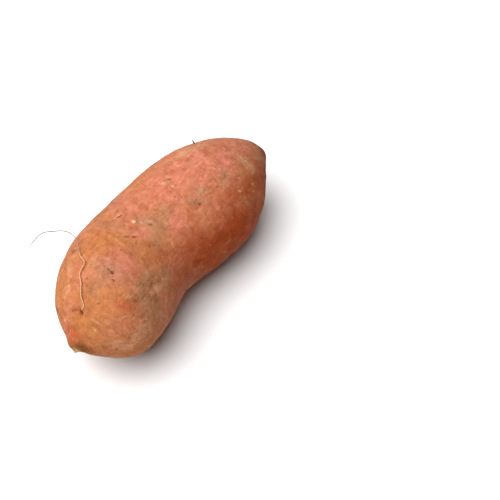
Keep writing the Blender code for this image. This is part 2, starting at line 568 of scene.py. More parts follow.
@dataclass(frozen=True)
class RootletFinish:
    """A dried rootlet: pale cream where it is thick, grey-brown and dull where it is thin."""

    name: str = "dried_rootlet"
    foot: Colour = (0.575, 0.290, 0.138)
    middle: Colour = (0.300, 0.180, 0.100)
    tip: Colour = (0.135, 0.125, 0.105)
    fibre: Colour = (0.220, 0.110, 0.050)
    roughness: float = 0.75

    def material(self) -> bpy.types.Material:
        """Builds the rootlet's material.

        Returns:
            The material, which reads the share of the way along the rootlet.
        """
        sketch = NodeSketch(self.name, self.foot)
        along = sketch.painted("along")
        sketch.lay(self.middle, sketch.between(along, 0.38, 0.46))
        sketch.lay(self.tip, sketch.between(along, 0.50, 0.72))
        streaks = sketch.between(sketch.noise(0.0008, 4, 0.6), 0.48, 0.72)
        sketch.lay(self.fibre, sketch.product(streaks, 0.5))
        grain = sketch.bumped(sketch.noise(0.0004, 3, 0.6), 0.0001)
        return sketch.dress(self.roughness, grain)


@dataclass(frozen=True)
class PlainFinish:
    """A plain matt finish, faintly uneven."""

    name: str
    colour: Colour
    roughness: float
    patch_size: float = 0.5

    def material(self) -> bpy.types.Material:
        """Builds the material.

        Returns:
            The material.
        """
        sketch = NodeSketch(self.name, (0.0, 0.0, 0.0))
        soft = sketch.between(sketch.noise(self.patch_size, 2), 0.2, 0.8, 0.97, 1.0)
        sketch.lay(self.colour, soft)
        return sketch.dress(self.roughness)


# ---- The tuber ----


class MarkKind(Enum):
    """What a mark on the skin is."""

    EYE = "a dent with a brow on its crown side and a root scar in its middle"
    SLIT = "a short dark cut with a pale lifted edge"
    SCRATCH = "a thin pale scratch"
    SPECK = "a small dark pit"
    CREAM = "a small cream spot where the skin is off"
    SWELL = "a low rise or hollow of the whole surface"
    DUST = "dust"
    TAN = "tan"
    BARE = "bare"
    BARK_AND_SHADE = "bark"
    OLIVE_AND_SHADOW = "olive"
    ORANGE = "orange"
    ROSE = "rose"
    RED = "red"
    SCUFF = "scuff"


@dataclass(frozen=True)
class Mark:
    """One mark on the skin, from a tint to a scar.

    Its length runs across the tuber, towards the back on its upper side, and its slant turns
    that towards the crown. Its width runs across its length.
    """

    kind: MarkKind
    along: float
    around: float
    length: float
    width: float
    slant: float = 0.0
    strength: float = 1.0


def marks_of(kind: MarkKind, *rows: tuple[float, ...]) -> tuple[Mark, ...]:
    """Marks of one kind, each row with a mark's other values in their order."""
    return tuple(Mark(kind, *row) for row in rows)


@dataclass
class SkinGrid:
    """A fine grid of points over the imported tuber, in rings from its tail to its crown."""

    tuber: bpy.types.Object
    rings: int = 286
    sides: int = 330
    # The line inside the tuber that it is looked at from: half its length, and its height.
    spine_half: float = 0.045
    spine_height: float = 0.033
    # The rays that are tried first, to set the rings evenly apart: the gap at either end in
    # radians, how many there are along and round the tuber, and the radians between the latter.
    end_gap: float = 0.004
    trial_tilts: int = 240
    trial_turns: int = 12
    trial_step: float = 0.52
    # The depth below the skin round it at which a point counts as fallen into a socket, and how
    # many points wide a socket is.
    socket_depth: float = 0.00035
    socket_span: int = 6
    softenings: int = 12
    # How alike two places have to face for a mark to reach from one to the other.
    same_way: float = 0.2
    # The skin below the first height is left as it is, and above the second it moves freely.
    held_below: float = 0.0002
    free_above: float = 0.0030
    points: np.ndarray = field(init=False)
    normals: np.ndarray = field(init=False)
    layers: dict[str, np.ndarray] = field(init=False, default_factory=dict)

    def __post_init__(self) -> None:
        """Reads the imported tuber's surface from a line of points inside it."""
        mesh = self.tuber.data
        corners = [vertex.co for vertex in mesh.vertices]
        tree = BVHTree.FromPolygons(corners, [tuple(face.vertices) for face in mesh.polygons])
        tilts = self._even_tilts(tree)
        turns = np.arange(self.sides) * 2 * math.pi / self.sides
        hits = [[self._hit(tree, tilt, turn) for turn in turns] for tilt in tilts]
        self.points = np.array(hits)
        self._fill_holes()
        for _ in range(self.softenings):
            self.points = self._softened(self.points)
        self.normals = self._facing()

    def _hit(self, tree: BVHTree, tilt: float, turn: float) -> Point:
        """Where one ray from the tuber's inside leaves it.

        Args:
            tree: the tuber's surface.
            tilt: the ray's angle from the way to the tail.
            turn: its angle round the tuber.

        Returns:
            The point.
        """
        start = Vector((-self.spine_half * math.cos(tilt), 0.0, self.spine_height))
        out = math.sin(tilt)
        way = Vector((-math.cos(tilt), -out * math.sin(turn), out * math.cos(turn)))
        return tuple(tree.ray_cast(start, way)[0])

    def _even_tilts(self, tree: BVHTree) -> np.ndarray:
        """The rays' angles that set the rings evenly apart over the skin.

        Args:
            tree: the tuber's surface.

        Returns:
            One angle for each ring.
        """
        tilts = np.linspace(self.end_gap, math.pi - self.end_gap, self.trial_tilts)
        turns = np.arange(self.trial_turns) * self.trial_step
        runs = np.array([[self._hit(tree, tilt, turn) for tilt in tilts] for turn in turns])
        steps = np.linalg.norm(np.diff(runs, axis=1), axis=2).mean(axis=0)
        gone = np.concatenate([[0.0], np.cumsum(steps)])
        wanted = np.linspace(0.0, 1.0, self.rings + 2)[1:-1] * gone[-1]
        return np.interp(wanted, gone, tilts)

    def _next_rings(self, grid: np.ndarray) -> tuple[np.ndarray, np.ndarray]:
        """The grid moved one ring towards the tail and towards the crown.

        Args:
            grid: values for each ring and side.

        Returns:
            Both moved grids. Past an end comes the same ring's far side.
        """
        half = self.sides // 2
        before = np.concatenate([np.roll(grid[:1], half, axis=1), grid[:-1]])
        after = np.concatenate([grid[1:], np.roll(grid[-1:], half, axis=1)])
        return before, after

    def _softened(self, grid: np.ndarray) -> np.ndarray:
        """Each value evened out a little with its neighbours.

        Args:
            grid: values for each ring and side.

        Returns:
            The softer values.
        """
        before, after = self._next_rings(grid)
        grid = 0.5 * grid + 0.25 * (before + after)
        return 0.5 * grid + 0.25 * (np.roll(grid, 1, axis=1) + np.roll(grid, -1, axis=1))

    def _fill_holes(self) -> None:
        """Lifts points that fell into a rootlet's socket back to the skin round it."""
        middle = np.array([0.0, 0.0, self.spine_height])
        reach = np.linalg.norm(self.points - middle, axis=2)
        around = reach.copy()
        for _ in range(self.socket_span):
            before, after = self._next_rings(around)
            sides = (np.roll(around, 2, axis=1), np.roll(around, -2, axis=1))
            around = np.maximum(around, np.median([before, after, *sides], axis=0))
        fallen = (around - reach > self.socket_depth)[..., None]
        lifted = middle + (self.points - middle) * (around / reach)[..., None]
        self.points = np.where(fallen, lifted, self.points)

    def _facing(self) -> np.ndarray:
        """The outward direction at each point.

        Returns:
            Directions of length 1.
        """
        before, after = self._next_rings(self.points)
        round_way = np.roll(self.points, -1, axis=1) - np.roll(self.points, 1, axis=1)
        out = np.cross(round_way, after - before)
        return out / np.linalg.norm(out, axis=2, keepdims=True)

    @property
    def shape(self) -> tuple[int, int]:
        """How many rings and sides there are."""
        return self.rings, self.sides

    def layer(self, name: str) -> np.ndarray:
        """A named value at each point, 0 until something is added to it."""
        return self.layers.setdefault(name, np.zeros(self.points.shape[:2]))

    def local(self, along: float, around: float, slant: float) -> tuple[np.ndarray, np.ndarray]:
        """Flat coordinates round one place on the skin.

        Args:
            along: the place's share of the way to the crown.
            around: its degrees round from the top.
            slant: how many degrees the first axis is turned towards the crown.

        Returns:
            Metres from the place along the mark's length, and along its width.
        """
        ring = min(self.rings - 1, max(0, round(along * (self.rings + 1)) - 1))
        side = round(around / 360 * self.sides) % self.sides
        here, out = self.points[ring, side], self.normals[ring, side]
        crownward = np.array([1.0, 0.0, 0.0]) - out[0] * out
        crownward /= np.linalg.norm(crownward)
        sideways = np.cross(out, crownward)
        turn = math.radians(slant)
        length_way = sideways * math.cos(turn) + crownward * math.sin(turn)
        width_way = crownward * math.cos(turn) - sideways * math.sin(turn)
        offset = self.points - here
        # Skin that faces another way, on the tuber's other side, counts as a metre off.
        elsewhere = np.where(self.normals @ out > self.same_way, 0.0, 1.0)
        return offset @ length_way + elsewhere, offset @ width_way + elsewhere

    def shift(self, height: np.ndarray) -> None:
        """Moves each point out along its direction, and keeps the flat spot flat.

        Args:
            height: metres for each point.
        """
        clear = fade_between(self.points[..., 2], self.held_below, self.free_above)
        self.points = self.points + self.normals * (height * clear)[..., None]
        self.points[..., 2] = np.maximum(self.points[..., 2], 0.0)

    def mesh(self, name: str) -> bpy.types.Mesh:
        """The grid as a closed mesh with its stored values and an unwrapped layout.

        Args:
            name: the mesh's name.

        Returns:
            The mesh.
        """
        ends = [self.points[0].mean(axis=0), self.points[-1].mean(axis=0)]
        corners = np.concatenate([self.points.reshape(-1, 3), ends])
        tail, crown = len(corners) - 2, len(corners) - 1
        faces, layout = [], []
        for side in range(self.sides):
            beyond = (side + 1) % self.sides
            left, right = side / self.sides, (side + 1) / self.sides
            for ring in range(self.rings - 1):
                low, high = ring * self.sides, (ring + 1) * self.sides
                faces.append((low + side, low + beyond, high + beyond, high + side))
                down, up = (ring + 1) / (self.rings + 1), (ring + 2) / (self.rings + 1)
                layout += [(left, down), (right, down), (right, up), (left, up)]
            last, middle = (self.rings - 1) * self.sides, (left + right) / 2
            first_row, last_row = 1 / (self.rings + 1), self.rings / (self.rings + 1)
            faces.append((tail, beyond, side))
            layout += [(middle, 0.0), (right, first_row), (left, first_row)]
            faces.append((crown, last + side, last + beyond))
            layout += [(middle, 1.0), (left, last_row), (right, last_row)]
        made = bpy.data.meshes.new(name)
        made.from_pydata(corners.tolist(), [], faces)
        unwrapped = made.uv_layers.new(name="OFBake")
        unwrapped.data.foreach_set("uv", np.array(layout, np.float32).ravel())
        for title, values in self.layers.items():
            stored = made.attributes.new(title, "FLOAT", "POINT")
            filled = np.concatenate([values.ravel(), [values[0].mean(), values[-1].mean()]])
            stored.data.foreach_set("value", np.clip(filled, 0.0, 1.0).astype(np.float32))
        made.shade_smooth()
        made.update()
        return made


@dataclass
class TuberSkin:
    """The tuber itself: its lumps, wrinkles, eyes, scars, tail nub and crown."""

    finish: SkinFinish = field(default_factory=SkinFinish)
    grid: SkinGrid = field(init=False)
    # The relief's own height for each kind of bump, and how wide such a bump is.
    lump: tuple[float, float] = (0.00034, 0.020)
    dimple: tuple[float, float] = (0.00022, 0.0075)
    crease: tuple[float, float] = (0.00018, 0.0036)
    grain: tuple[float, float] = (0.00006, 0.0026)
    eye_depth: float = 0.00042
    # The tail's nub: where it is, along and around, its radius, and how far it stands out.
    nub: tuple[float, float] = (0.050, 70)
    nub_radius: float = 0.0017
    nub_length: float = 0.0013
    # Round the nub: the radii of its fibres, its straw-coloured skin and its bark.
    fibre_radius: float = 0.0045
    straw_radius: float = 0.0021
    bark_radius: float = 0.0060
    fibre_height: float = 0.00050
    # The stem's scar on the crown, and the ring, the crack and the cork round it.
    scar_radius: float = 0.0034
    scar_depth: float = 0.0022
    ring_radius: float = 0.0050
    ring_width: float = 0.0017
    ring_height: float = 0.0008
    crack_radius: float = 0.0078
    crack_width: float = 0.0012
    cork_radius: float = 0.0090
    cork_height: float = 0.0004
    small_marks: int = 150
    far_marks: int = 130
    seed: int = 11
    # How many times as wide an eye is as the scar in its middle.
    eye_reach: float = 1.8
    # Plain spots: their height as a share of their width, their stored value and its amount.
    spots: dict[MarkKind, tuple[float, str, float]] = field(
        default_factory=lambda: {
            MarkKind.SCRATCH: (0.20, "pale", 0.28),
            MarkKind.SPECK: (-0.30, "dark", 0.80),
            MarkKind.CREAM: (0.25, "pale", 1.00),
        }
    )

    # Low rises of the outline, whose strength is their height in millimetres.
    swells: tuple[Mark, ...] = marks_of(
        MarkKind.SWELL,
        (0.22, 92, 0.012, 0.013, 0, 1.8),
        (0.08, 78, 0.006, 0.005, 0, 1.2),
        (0.10, -48, 0.014, 0.012, 0, 0.8),
        (0.935, 60, 0.006, 0.006, 0, 1.9),
        (0.045, 54, 0.005, 0.005, 0, 0.9),
    )

    # Marks of the upper side and the front, the tints first.
    marks: tuple[Mark, ...] = (
        *marks_of(
            MarkKind.ORANGE,
            (0.33, -18, 0.0080, 0.0065),
            (0.17, -40, 0.0050, 0.0110),
            (0.11, 30, 0.0055, 0.0060),
        ),
        *marks_of(
            MarkKind.ROSE,
            (0.31, 9, 0.0075, 0.0065),
            (0.58, -12, 0.0090, 0.0075),
            (0.67, -7, 0.0090, 0.0085),
            (0.73, 10, 0.0100, 0.0085),
            (0.43, 0, 0.0035, 0.0035),
            (0.53, 20, 0.0045, 0.0045),
            (0.82, 8, 0.0050, 0.0055),
        ),
        *marks_of(
            MarkKind.RED,
            (0.40, 69, 0.0035, 0.0030),
            (0.24, 42, 0.0050, 0.0030, -39),
            (0.07, 26, 0.0045, 0.0030),
            (0.052, 44, 0.0030, 0.0024, 0, 0.6),
        ),
        *marks_of(
            MarkKind.TAN,
            (0.303, 44, 0.0065, 0.0055, 50),
            (0.38, 51, 0.0050, 0.0045, 0, 0.9),
            (0.335, 40, 0.0045, 0.0040, 0, 0.9),
            (0.29, 60, 0.0075, 0.0065, 0, 0.9),
            (0.53, 3, 0.0040, 0.0030, 50, 0.8),
            (0.49, 7, 0.0050, 0.0035, 50, 0.8),
            (0.453, 15, 0.0050, 0.0035, 50, 0.8),
            (0.40, -26, 0.0035, 0.0035, 0, 0.6),
            (0.39, -43, 0.0050, 0.0030, 0, 0.5),
            (0.216, 8, 0.0035, 0.0045, 0, 0.6),
            (0.90, 45, 0.0060, 0.0040, 0, 0.8),
            (0.72, 62, 0.0060, 0.0055, 0, 0.4),
        ),
        *marks_of(
            MarkKind.BARE,
            (0.76, -26, 0.0034, 0.0070, 0, 0.8),
            (0.71, -28, 0.0026, 0.0050, 0, 0.7),
            (0.338, 51, 0.0055, 0.0018, -80),
            (0.237, 68, 0.0050, 0.0040, 20),
            (0.209, 68, 0.0028, 0.0012, -39),
            (0.171, 72, 0.0050, 0.0024, -50),
            (0.22, -34, 0.0024, 0.0040, 0, 0.7),
            (0.16, -22, 0.0026, 0.0036, 0, 0.6),
            (0.26, -11, 0.0030, 0.0024, 0, 0.5),
            (0.596, -18, 0.0022, 0.0011, -39),
            (0.70, 27, 0.0042, 0.0022, -20, 0.6),
            (0.822, 33, 0.0052, 0.0028, 1, 1.2),
        ),
        *marks_of(
            MarkKind.DUST,
            (0.27, 6, 0.0060, 0.0050),
            (0.463, -8, 0.0036, 0.0030),
            (0.61, 20, 0.0048, 0.0016, -39, 0.9),
            (0.64, 16, 0.0050, 0.0030, -39, 0.7),
            (0.728, 23, 0.0030, 0.0024, 0, 0.8),
            (0.693, -12, 0.0024, 0.0020, 0, 0.7),
        ),
        *marks_of(
            MarkKind.OLIVE_AND_SHADOW,
            (0.386, -6, 0.0014, 0.0009, -39, 0.4),
            (0.091, -41, 0.0028, 0.0009, 51, 0.9),
            (0.422, -60, 0.0018, 0.0012, 0, 0.8),
            # Painted shadow of the hair root on the skin beneath it.
            (0.268, -43, 0.0024, 0.0015, 0, 0.6),
            (0.728, 23, 0.0012, 0.0010, 0, 0.5),
            (0.645, -54, 0.0020, 0.0012, -84, 1.1),
        ),
        *marks_of(
            MarkKind.BARK_AND_SHADE,
            (0.126, 1, 0.0026, 0.0008, -39, 0.7),
            (0.324, 43, 0.0032, 0.0022, -60, 0.34),
            (0.292, 47, 0.0028, 0.0020, -60, 0.30),
            (0.265, 43, 0.0024, 0.0014, -39, 0.34),
            (0.308, 56, 0.0034, 0.0024, 30, 0.30),
            (0.847, 30, 0.0028, 0.0009, -39, 0.3),
            # The next three darken the crown's front edge: painted shade there, over its darker
            # corky end.
            (0.864, 76, 0.0050, 0.0050, 0, 0.5),
            (0.935, 60, 0.0060, 0.0050, 0, 0.7),
            (0.82, 80, 0.0050, 0.0060, 0, 0.35),
            (0.064, 66, 0.0034, 0.0030, 0, 0.55),
            (0.080, 68, 0.0024, 0.0030, 0, 0.55),
        ),
        *marks_of(
            MarkKind.SCUFF,
            (0.70, 8, 0.0110, 0.0110, 0, 0.8),
            (0.50, 12, 0.0080, 0.0070, 0, 0.5),
            (0.26, 33, 0.0070, 0.0060, 0, 0.6),
            (0.63, 20, 0.0080, 0.0060, 0, 0.5),
            (0.18, 70, 0.0070, 0.0060, 0, 0.6),
        ),
        *marks_of(
            MarkKind.EYE,
            (0.133, 12, 0.0018, 0.0012, 51, 2.2),
            (0.272, 11, 0.0014, 0.0009, 0, 1.1),
            (0.613, 25, 0.0017, 0.0009, -39, 0.7),
        ),
        *marks_of(
            MarkKind.SPECK,
            (0.134, 12, 0.0014, 0.0009, 51, 1.6),
            (0.272, 1, 0.0011, 0.0008, 0, 1.0),
            (0.272, 7, 0.0018, 0.0007, 5, 1.3),
            (0.258, 16, 0.0013, 0.0008, 0, 1.3),
            (0.254, 20, 0.0009, 0.0006, 0, 0.6),
            (0.46, -15, 0.0013, 0.0008, -39, 0.9),
            (0.715, 47, 0.0011, 0.0006, -39, 0.8),
            (0.298, -2, 0.0010, 0.0007, 0, 0.7),
        ),
        *marks_of(
            MarkKind.SLIT,
            (0.400, -1, 0.0018, 0.0009, -45, 1.1),
            (0.386, -6, 0.0016, 0.0008, -39, 0.8),
            (0.467, 1, 0.0018, 0.0009, -20, 0.9),
            (0.436, -30, 0.0024, 0.0007, -79, 1.2),
            (0.613, -16, 0.0015, 0.0008, -39, 1.1),
        ),
        *marks_of(
            MarkKind.CREAM,
            (0.443, -14, 0.0011, 0.0010, 0, 1.2),
            (0.78, 52, 0.0010, 0.0006, -84, 0.6),
            (0.724, 45, 0.0010, 0.0006, -39, 0.7),
        ),
        *marks_of(
            MarkKind.SCRATCH,
            (0.15, 34, 0.0048, 0.0005, -14, 0.9),
            (0.254, 35, 0.0022, 0.0004, -84, 0.9),
            (0.26, 37, 0.0018, 0.0004, -84, 0.8),
            (0.213, 46, 0.0030, 0.0004, -70, 0.8),
            (0.17, 66, 0.0040, 0.0005, -50, 0.9),
            (0.19, 74, 0.0040, 0.0005, -60, 0.9),
            (0.42, -26, 0.0018, 0.0004, -79, 0.5),
        ),
    )

    # Eyes of the other sides, in loose rows from the tail to the crown: along, around.
    far_eyes: tuple[tuple[float, float], ...] = (
        (0.26, -76),
        (0.46, -88),
        (0.66, -82),
        (0.24, 118),
        (0.44, 106),
        (0.60, 116),
        (0.77, 100),
        (0.22, -140),
        (0.37, -125),
        (0.54, -138),
        (0.73, -128),
        (0.34, 150),
        (0.68, 160),
    )

    def build(self) -> bpy.types.Object:
        """Builds the tuber and rides it on its body.

        Returns:
            The finished piece.
        """
        self.grid = SkinGrid(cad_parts["tuber"])
        for mark in self.swells:
            self._press(mark)
        self._roughen()
        for mark in (*self.marks, *self._far_side(), *self._small_marks()):
            self._press(mark)
        self._shape_tail()
        self._shape_crown()
        self._tint_and_shade_sides()
        return fit_piece(self.grid.mesh("tuber_skin"), self.finish.material(), "tuber")

    def _noise(self, number: int, size: float, stretch: Point = (1.0, 1.0, 1.0)) -> np.ndarray:
        """One of many noises, whose widest bumps have that size, read at each point."""
        places = self.grid.points.reshape(-1, 3) * np.array(stretch)
        return SolidNoise(self.seed + number).layered(places, size).reshape(self.grid.shape)

    def _roughen(self) -> None:
        """Gives the skin its lumps, dimples, cross creases and grain, and stores painted shade for
        the creases.
        """
        crosswise, lengthways = (1.0, 0.42, 0.42), (0.40, 1.0, 1.0)
        lumps = self._noise(0, self.lump[1])
        dimples = self._noise(1, self.dimple[1])
        creases = self._noise(2, self.crease[1], crosswise)
        # Some stretches of the skin are more wrinkled than others.
        creases *= 0.4 + fade_between(self._noise(3, self.lump[1]), -0.25, 0.45)
        grain = self._noise(4, self.grain[1], lengthways)
        self.grid.shift(
            self.lump[0] * lumps
            + self.dimple[0] * dimples
            + self.crease[0] * creases
            + self.grain[0] * grain
        )
        # Painted shade in the creases' hollows, kept for the skin's colour.
        self.grid.layer("hollow")[:] = 0.7 * fade_between(-creases, 0.30, 0.85)

    def _far_side(self) -> list[Mark]:
        """The eyes and tints of the back and the underside.

        Returns:
            The marks in the order they are pressed.
        """
        draw = np.random.default_rng(self.seed)
        tints = (MarkKind.TAN, MarkKind.ROSE, MarkKind.ORANGE, MarkKind.BARE, MarkKind.DUST)
        made = []
        for number in range(self.far_marks):
            along, around = draw.uniform(0.06, 0.94), draw.uniform(105, 300)
            size, thin = draw.uniform(0.002, 0.006), draw.uniform(0.4, 1.0)
            slant, strength = draw.uniform(-90, 90), draw.uniform(0.4, 1.0)
            kind = tints[number % len(tints)]
            made.append(Mark(kind, along, around, size, size * thin, slant, strength))
        for along, around in self.far_eyes:
            size, slant = draw.uniform(0.0014, 0.0026), draw.uniform(-30, 30)
            made.append(Mark(MarkKind.DUST, along, around, 3 * size, 2 * size, 0, 0.8))
            made.append(Mark(MarkKind.EYE, along, around, size, 0.45 * size, slant, 1.2))
        return made

    def _small_marks(self) -> list[Mark]:
        """The small specks, cuts and pale spots that are scattered all over.

        Returns:
            The marks in the order they are pressed.
        """
        draw = np.random.default_rng(self.seed + 1)
        kinds = (MarkKind.SPECK, MarkKind.CREAM, MarkKind.SCRATCH, MarkKind.SPECK, MarkKind.SLIT)
        made = []
        for number in range(self.small_marks):
            along, around = draw.uniform(0.05, 0.95), draw.uniform(-180, 180)
            size, slant = draw.uniform(0.0006, 0.0013), draw.uniform(-90, 90)
            strength = draw.uniform(0.25, 0.7)
            kind = kinds[number % len(kinds)]
            long = 2.0 if kind is MarkKind.SCRATCH else 1.0
            made.append(Mark(kind, along, around, long * size, 0.45 * size, slant, strength))
        return made

    def _press(self, mark: Mark) -> None:
        """Presses one mark into the skin and stores its colours.

        Args:
            mark: the mark.
        """
        grid = self.grid
        run, across = grid.local(mark.along, mark.around, mark.slant)
        run, across = run / mark.length, across / mark.width
        # The whole mark with its soft edge, and its crisp core.
        near = bell(run, across)
        core = mark.strength * fade_between(near, 0.20, 0.80)
        if mark.kind is MarkKind.SWELL:
            grid.shift(mark.strength * MILLIMETRE * near)
        elif mark.kind is MarkKind.EYE:
            # A wide bowl, a brow on its crown side and a deeper scar in its middle.
            bowl = bell(run / (1.5 * self.eye_reach), across / (1.5 * self.eye_reach))
            brow = bell(run / self.eye_reach, across - self.eye_reach)
            grid.shift(self.eye_depth * mark.strength * (0.45 * brow - 0.5 * bowl - 1.1 * near))
            grid.layer("dark")[:] += core
            # Painted shade in the eye's bowl.
            grid.layer("hollow")[:] += 0.5 * bowl
        elif mark.kind is MarkKind.SLIT:
            # The cut, and the lip that is lifted beside it.
            lip = bell(run, across - 1.7)
            grid.shift(0.4 * mark.width * mark.strength * (0.6 * lip - near))
            grid.layer("dark")[:] += 0.8 * core
            grid.layer("pale")[:] += 0.22 * mark.strength * lip
        elif mark.kind in self.spots:
            height, layer, amount = self.spots[mark.kind]
            grid.shift(height * mark.width * mark.strength * near)
            grid.layer(layer)[:] += amount * core
        else:
            tint = 1.1 * mark.strength * bell(0.8 * run, 0.8 * across)
            grid.layer(mark.kind.value)[:] += tint

    def _shape_tail(self) -> None:
        """Pulls out the tail's frayed nub, with cracked bark round it."""
        away = np.hypot(*self.grid.local(*self.nub, 0))
        ragged, fibres = self._noise(5, 0.0034), self._noise(9, 0.0016)
        nub = self.nub_length * bell(away / self.nub_radius) * (1 + 0.8 * fibres)
        self.grid.shift(self.fibre_height * fibres * bell(away / self.fibre_radius) + nub)
        self.grid.layer("straw")[:] += 0.9 * bell(away / self.straw_radius) * (1 + 0.5 * fibres)
        self.grid.layer("bark")[:] += 0.5 * bell(away / self.bark_radius) * (1 + 0.6 * ragged)

    def _shape_crown(self) -> None:
        """Makes the crown's ring corky and sinks the stem's scar."""
        ragged, rough = self._noise(6, 0.0026), self._noise(10, 0.0070)
        top = self.grid.points[-1].mean(axis=0)
        away = np.linalg.norm(self.grid.points - top, axis=2) + 0.0009 * rough
        scar = bell(away / self.scar_radius)
        ring = bell((away - self.ring_radius) / self.ring_width)
        crack = bell((away - self.crack_radius) / self.crack_width)
        cork = bell(away / self.cork_radius)
        self.grid.shift(
            -self.scar_depth * scar
            + self.ring_height * ring * (0.7 + ragged)
            + self.cork_height * ragged * cork
        )
        self.grid.layer("crown")[:] += 0.9 * cork * (1 + 0.4 * ragged)
        self.grid.layer("bark")[:] += 1.2 * scar + 0.45 * crack

    def _tint_and_shade_sides(self) -> None:
        """Tints the tail half orange, and paints shade on the front of the crown half as a darker,
        redder burnt orange.
        """
        along = self.grid.points[..., 0]
        self.grid.layer("orange")[:] += 0.42 * fade_between(-along, 0.005, 0.07)
        # Painted shade: skin that faces the front, on the crown half, darkens to burnt orange.
        towards_front = -self.grid.normals[..., 1] + 0.35 * self._noise(7, 0.016)
        towards_crown = along + 0.020 * self._noise(8, 0.012)
        front = fade_between(towards_front, 0.25, 0.95)
        self.grid.layer("painted_shade")[:] += front * fade_between(towards_crown, -0.040, 0.020)


# ---- Rootlets ----


def smooth_line(points: np.ndarray, step: float) -> np.ndarray:
    """Points about a step apart on a smooth line through the given points.

    Args:
        points: the points the line passes through, one in each row.
        step: how far apart the new points are, in metres.

    Returns:
        The new points, one in each row.
    """
    before, after = 2 * points[0] - points[1], 2 * points[-1] - points[-2]
    ends = np.array([before, *points, after])
    share = np.linspace(0, 1, CURVE_STEPS, endpoint=False)[:, None]
    parts = []
    for a, b, c, d in zip(ends, ends[1:], ends[2:], ends[3:]):
        slope = (c - a) * share
        bend = (2 * a - 5 * b + 4 * c - d) * share**2
        twist = (3 * b - a - 3 * c + d) * share**3
        parts.append(0.5 * (2 * b + slope + bend + twist))
    line = np.concatenate([*parts, ends[-2:-1]])
    gone = np.concatenate([[0.0], np.cumsum(np.linalg.norm(np.diff(line, axis=0), axis=1))])
    count = max(2, round(gone[-1] / step))
    wanted = np.linspace(0, gone[-1], count + 1)
    return np.stack([np.interp(wanted, gone, line[:, axis]) for axis in range(3)], axis=1)


def root_mesh(
    name: str, line: np.ndarray, radii: np.ndarray, sides: int, seed: int
) -> bpy.types.Mesh:
    """A closed thin root along a line, with uneven ribs.

    Args:
        name: the mesh's name.
        line: the points it follows.
        radii: its radius at each of them.
        sides: how many corners a cross-section has.
        seed: picks how its ribs lie.

    Returns:
        The mesh, which stores the share of the way along as "along".
    """
    ways = np.gradient(line, axis=0)
    ways /= np.linalg.norm(ways, axis=1, keepdims=True)
    side = np.cross(ways[0], [0.0, 0.0, 1.0])
    if np.linalg.norm(side) < 0.1:
        side = np.cross(ways[0], [1.0, 0.0, 0.0])
    turns = np.arange(sides) * 2 * math.pi / sides
    rings = []
    for point, way, radius in zip(line, ways, radii):
        side = side - np.dot(side, way) * way
        side /= np.linalg.norm(side)
        other = np.cross(way, side)
        ring = point + radius * (np.cos(turns)[:, None] * side + np.sin(turns)[:, None] * other)
        rings.append(ring)
    grid = np.array(rings)
    out = grid - line[:, None, :]
    uneven = SolidNoise(seed).layered(grid.reshape(-1, 3), RIB_SIZE, 2).reshape(*grid.shape[:2], 1)
    grid = line[:, None, :] + out * (1 + RIB_HEIGHT * uneven)
    corners = np.concatenate([grid.reshape(-1, 3), line[:1], line[-1:]])
    first, last, count = len(corners) - 2, len(corners) - 1, len(line)
    end = (count - 1) * sides
    faces = []
    for here in range(sides):
        beyond = (here + 1) % sides
        for low, high in zip(range(0, end, sides), range(sides, end + sides, sides)):
            faces.append((low + here, low + beyond, high + beyond, high + here))
        faces.append((first, beyond, here))
        faces.append((last, end + here, end + beyond))
    made = bpy.data.meshes.new(name)
    made.from_pydata(corners.tolist(), [], faces)
    share = np.concatenate([np.repeat(np.linspace(0, 1, count), sides), [0.0, 1.0]])
    stored = made.attributes.new("along", "FLOAT", "POINT")
    stored.data.foreach_set("value", share.astype(np.float32))
    made.shade_smooth()
    made.update()
    return made


@dataclass
class HairRoot:
    """The long dried hair root, from its eye along the skin and then free."""

    finish: RootletFinish = field(default_factory=RootletFinish)
    step: float = 0.0003
    sides: int = 10
    rib_seed: int = 51
    # Its kinks: how far they lean out, how long they are, and what draws them.
    kink: float = 0.00012
    kink_size: float = 0.0026
    kink_seed: int = 40
    # Its radius at some shares of the way along it.
    thickness: tuple[tuple[float, float], ...] = (
        (0.00, 0.000420),
        (0.05, 0.000350),
        (0.40, 0.000300),
        (0.46, 0.000230),
        (0.90, 0.000231),
        (1.00, 0.000126),
    )
    route: tuple[Point, ...] = (
        (-0.0643, -0.0045, 0.0556),
        (-0.0642, -0.0045, 0.0569),
        (-0.0626, -0.0044, 0.0590),
        (-0.0602, -0.0006, 0.0618),
        (-0.0557, 0.0031, 0.0638),
        (-0.0516, 0.0075, 0.0643),
        (-0.0459, 0.0093, 0.0656),
        (-0.0435, 0.0146, 0.0641),
        (-0.0376, 0.0223, 0.0608),
        (-0.0352, 0.0263, 0.0587),
        (-0.0346, 0.0304, 0.0586),
        (-0.0358, 0.0338, 0.0589),
        (-0.0388, 0.0368, 0.0598),
        (-0.0452, 0.0403, 0.0625),
        (-0.0522, 0.0396, 0.0645),
        (-0.0587, 0.0369, 0.0681),
    )

    def build(self) -> bpy.types.Object:
        """Builds the hair root and rides it on its body.

        Returns:
            The finished piece.
        """
        line = smooth_line(np.array(self.route), self.step)
        share = np.linspace(0, 1, len(line))
        loose = fade_between(share, 0.04, 0.12)[:, None] * self.kink
        noises = [SolidNoise(self.kink_seed + axis) for axis in range(3)]
        leans = [noise.layered(line, self.kink_size, 2) for noise in noises]
        line = line + loose * np.stack(leans, axis=1)
        radii = np.interp(share, *zip(*self.thickness))
        mesh = root_mesh("hair_root_strand", line, radii, self.sides, self.rib_seed)
        return fit_piece(mesh, self.finish.material(), "hair_root")


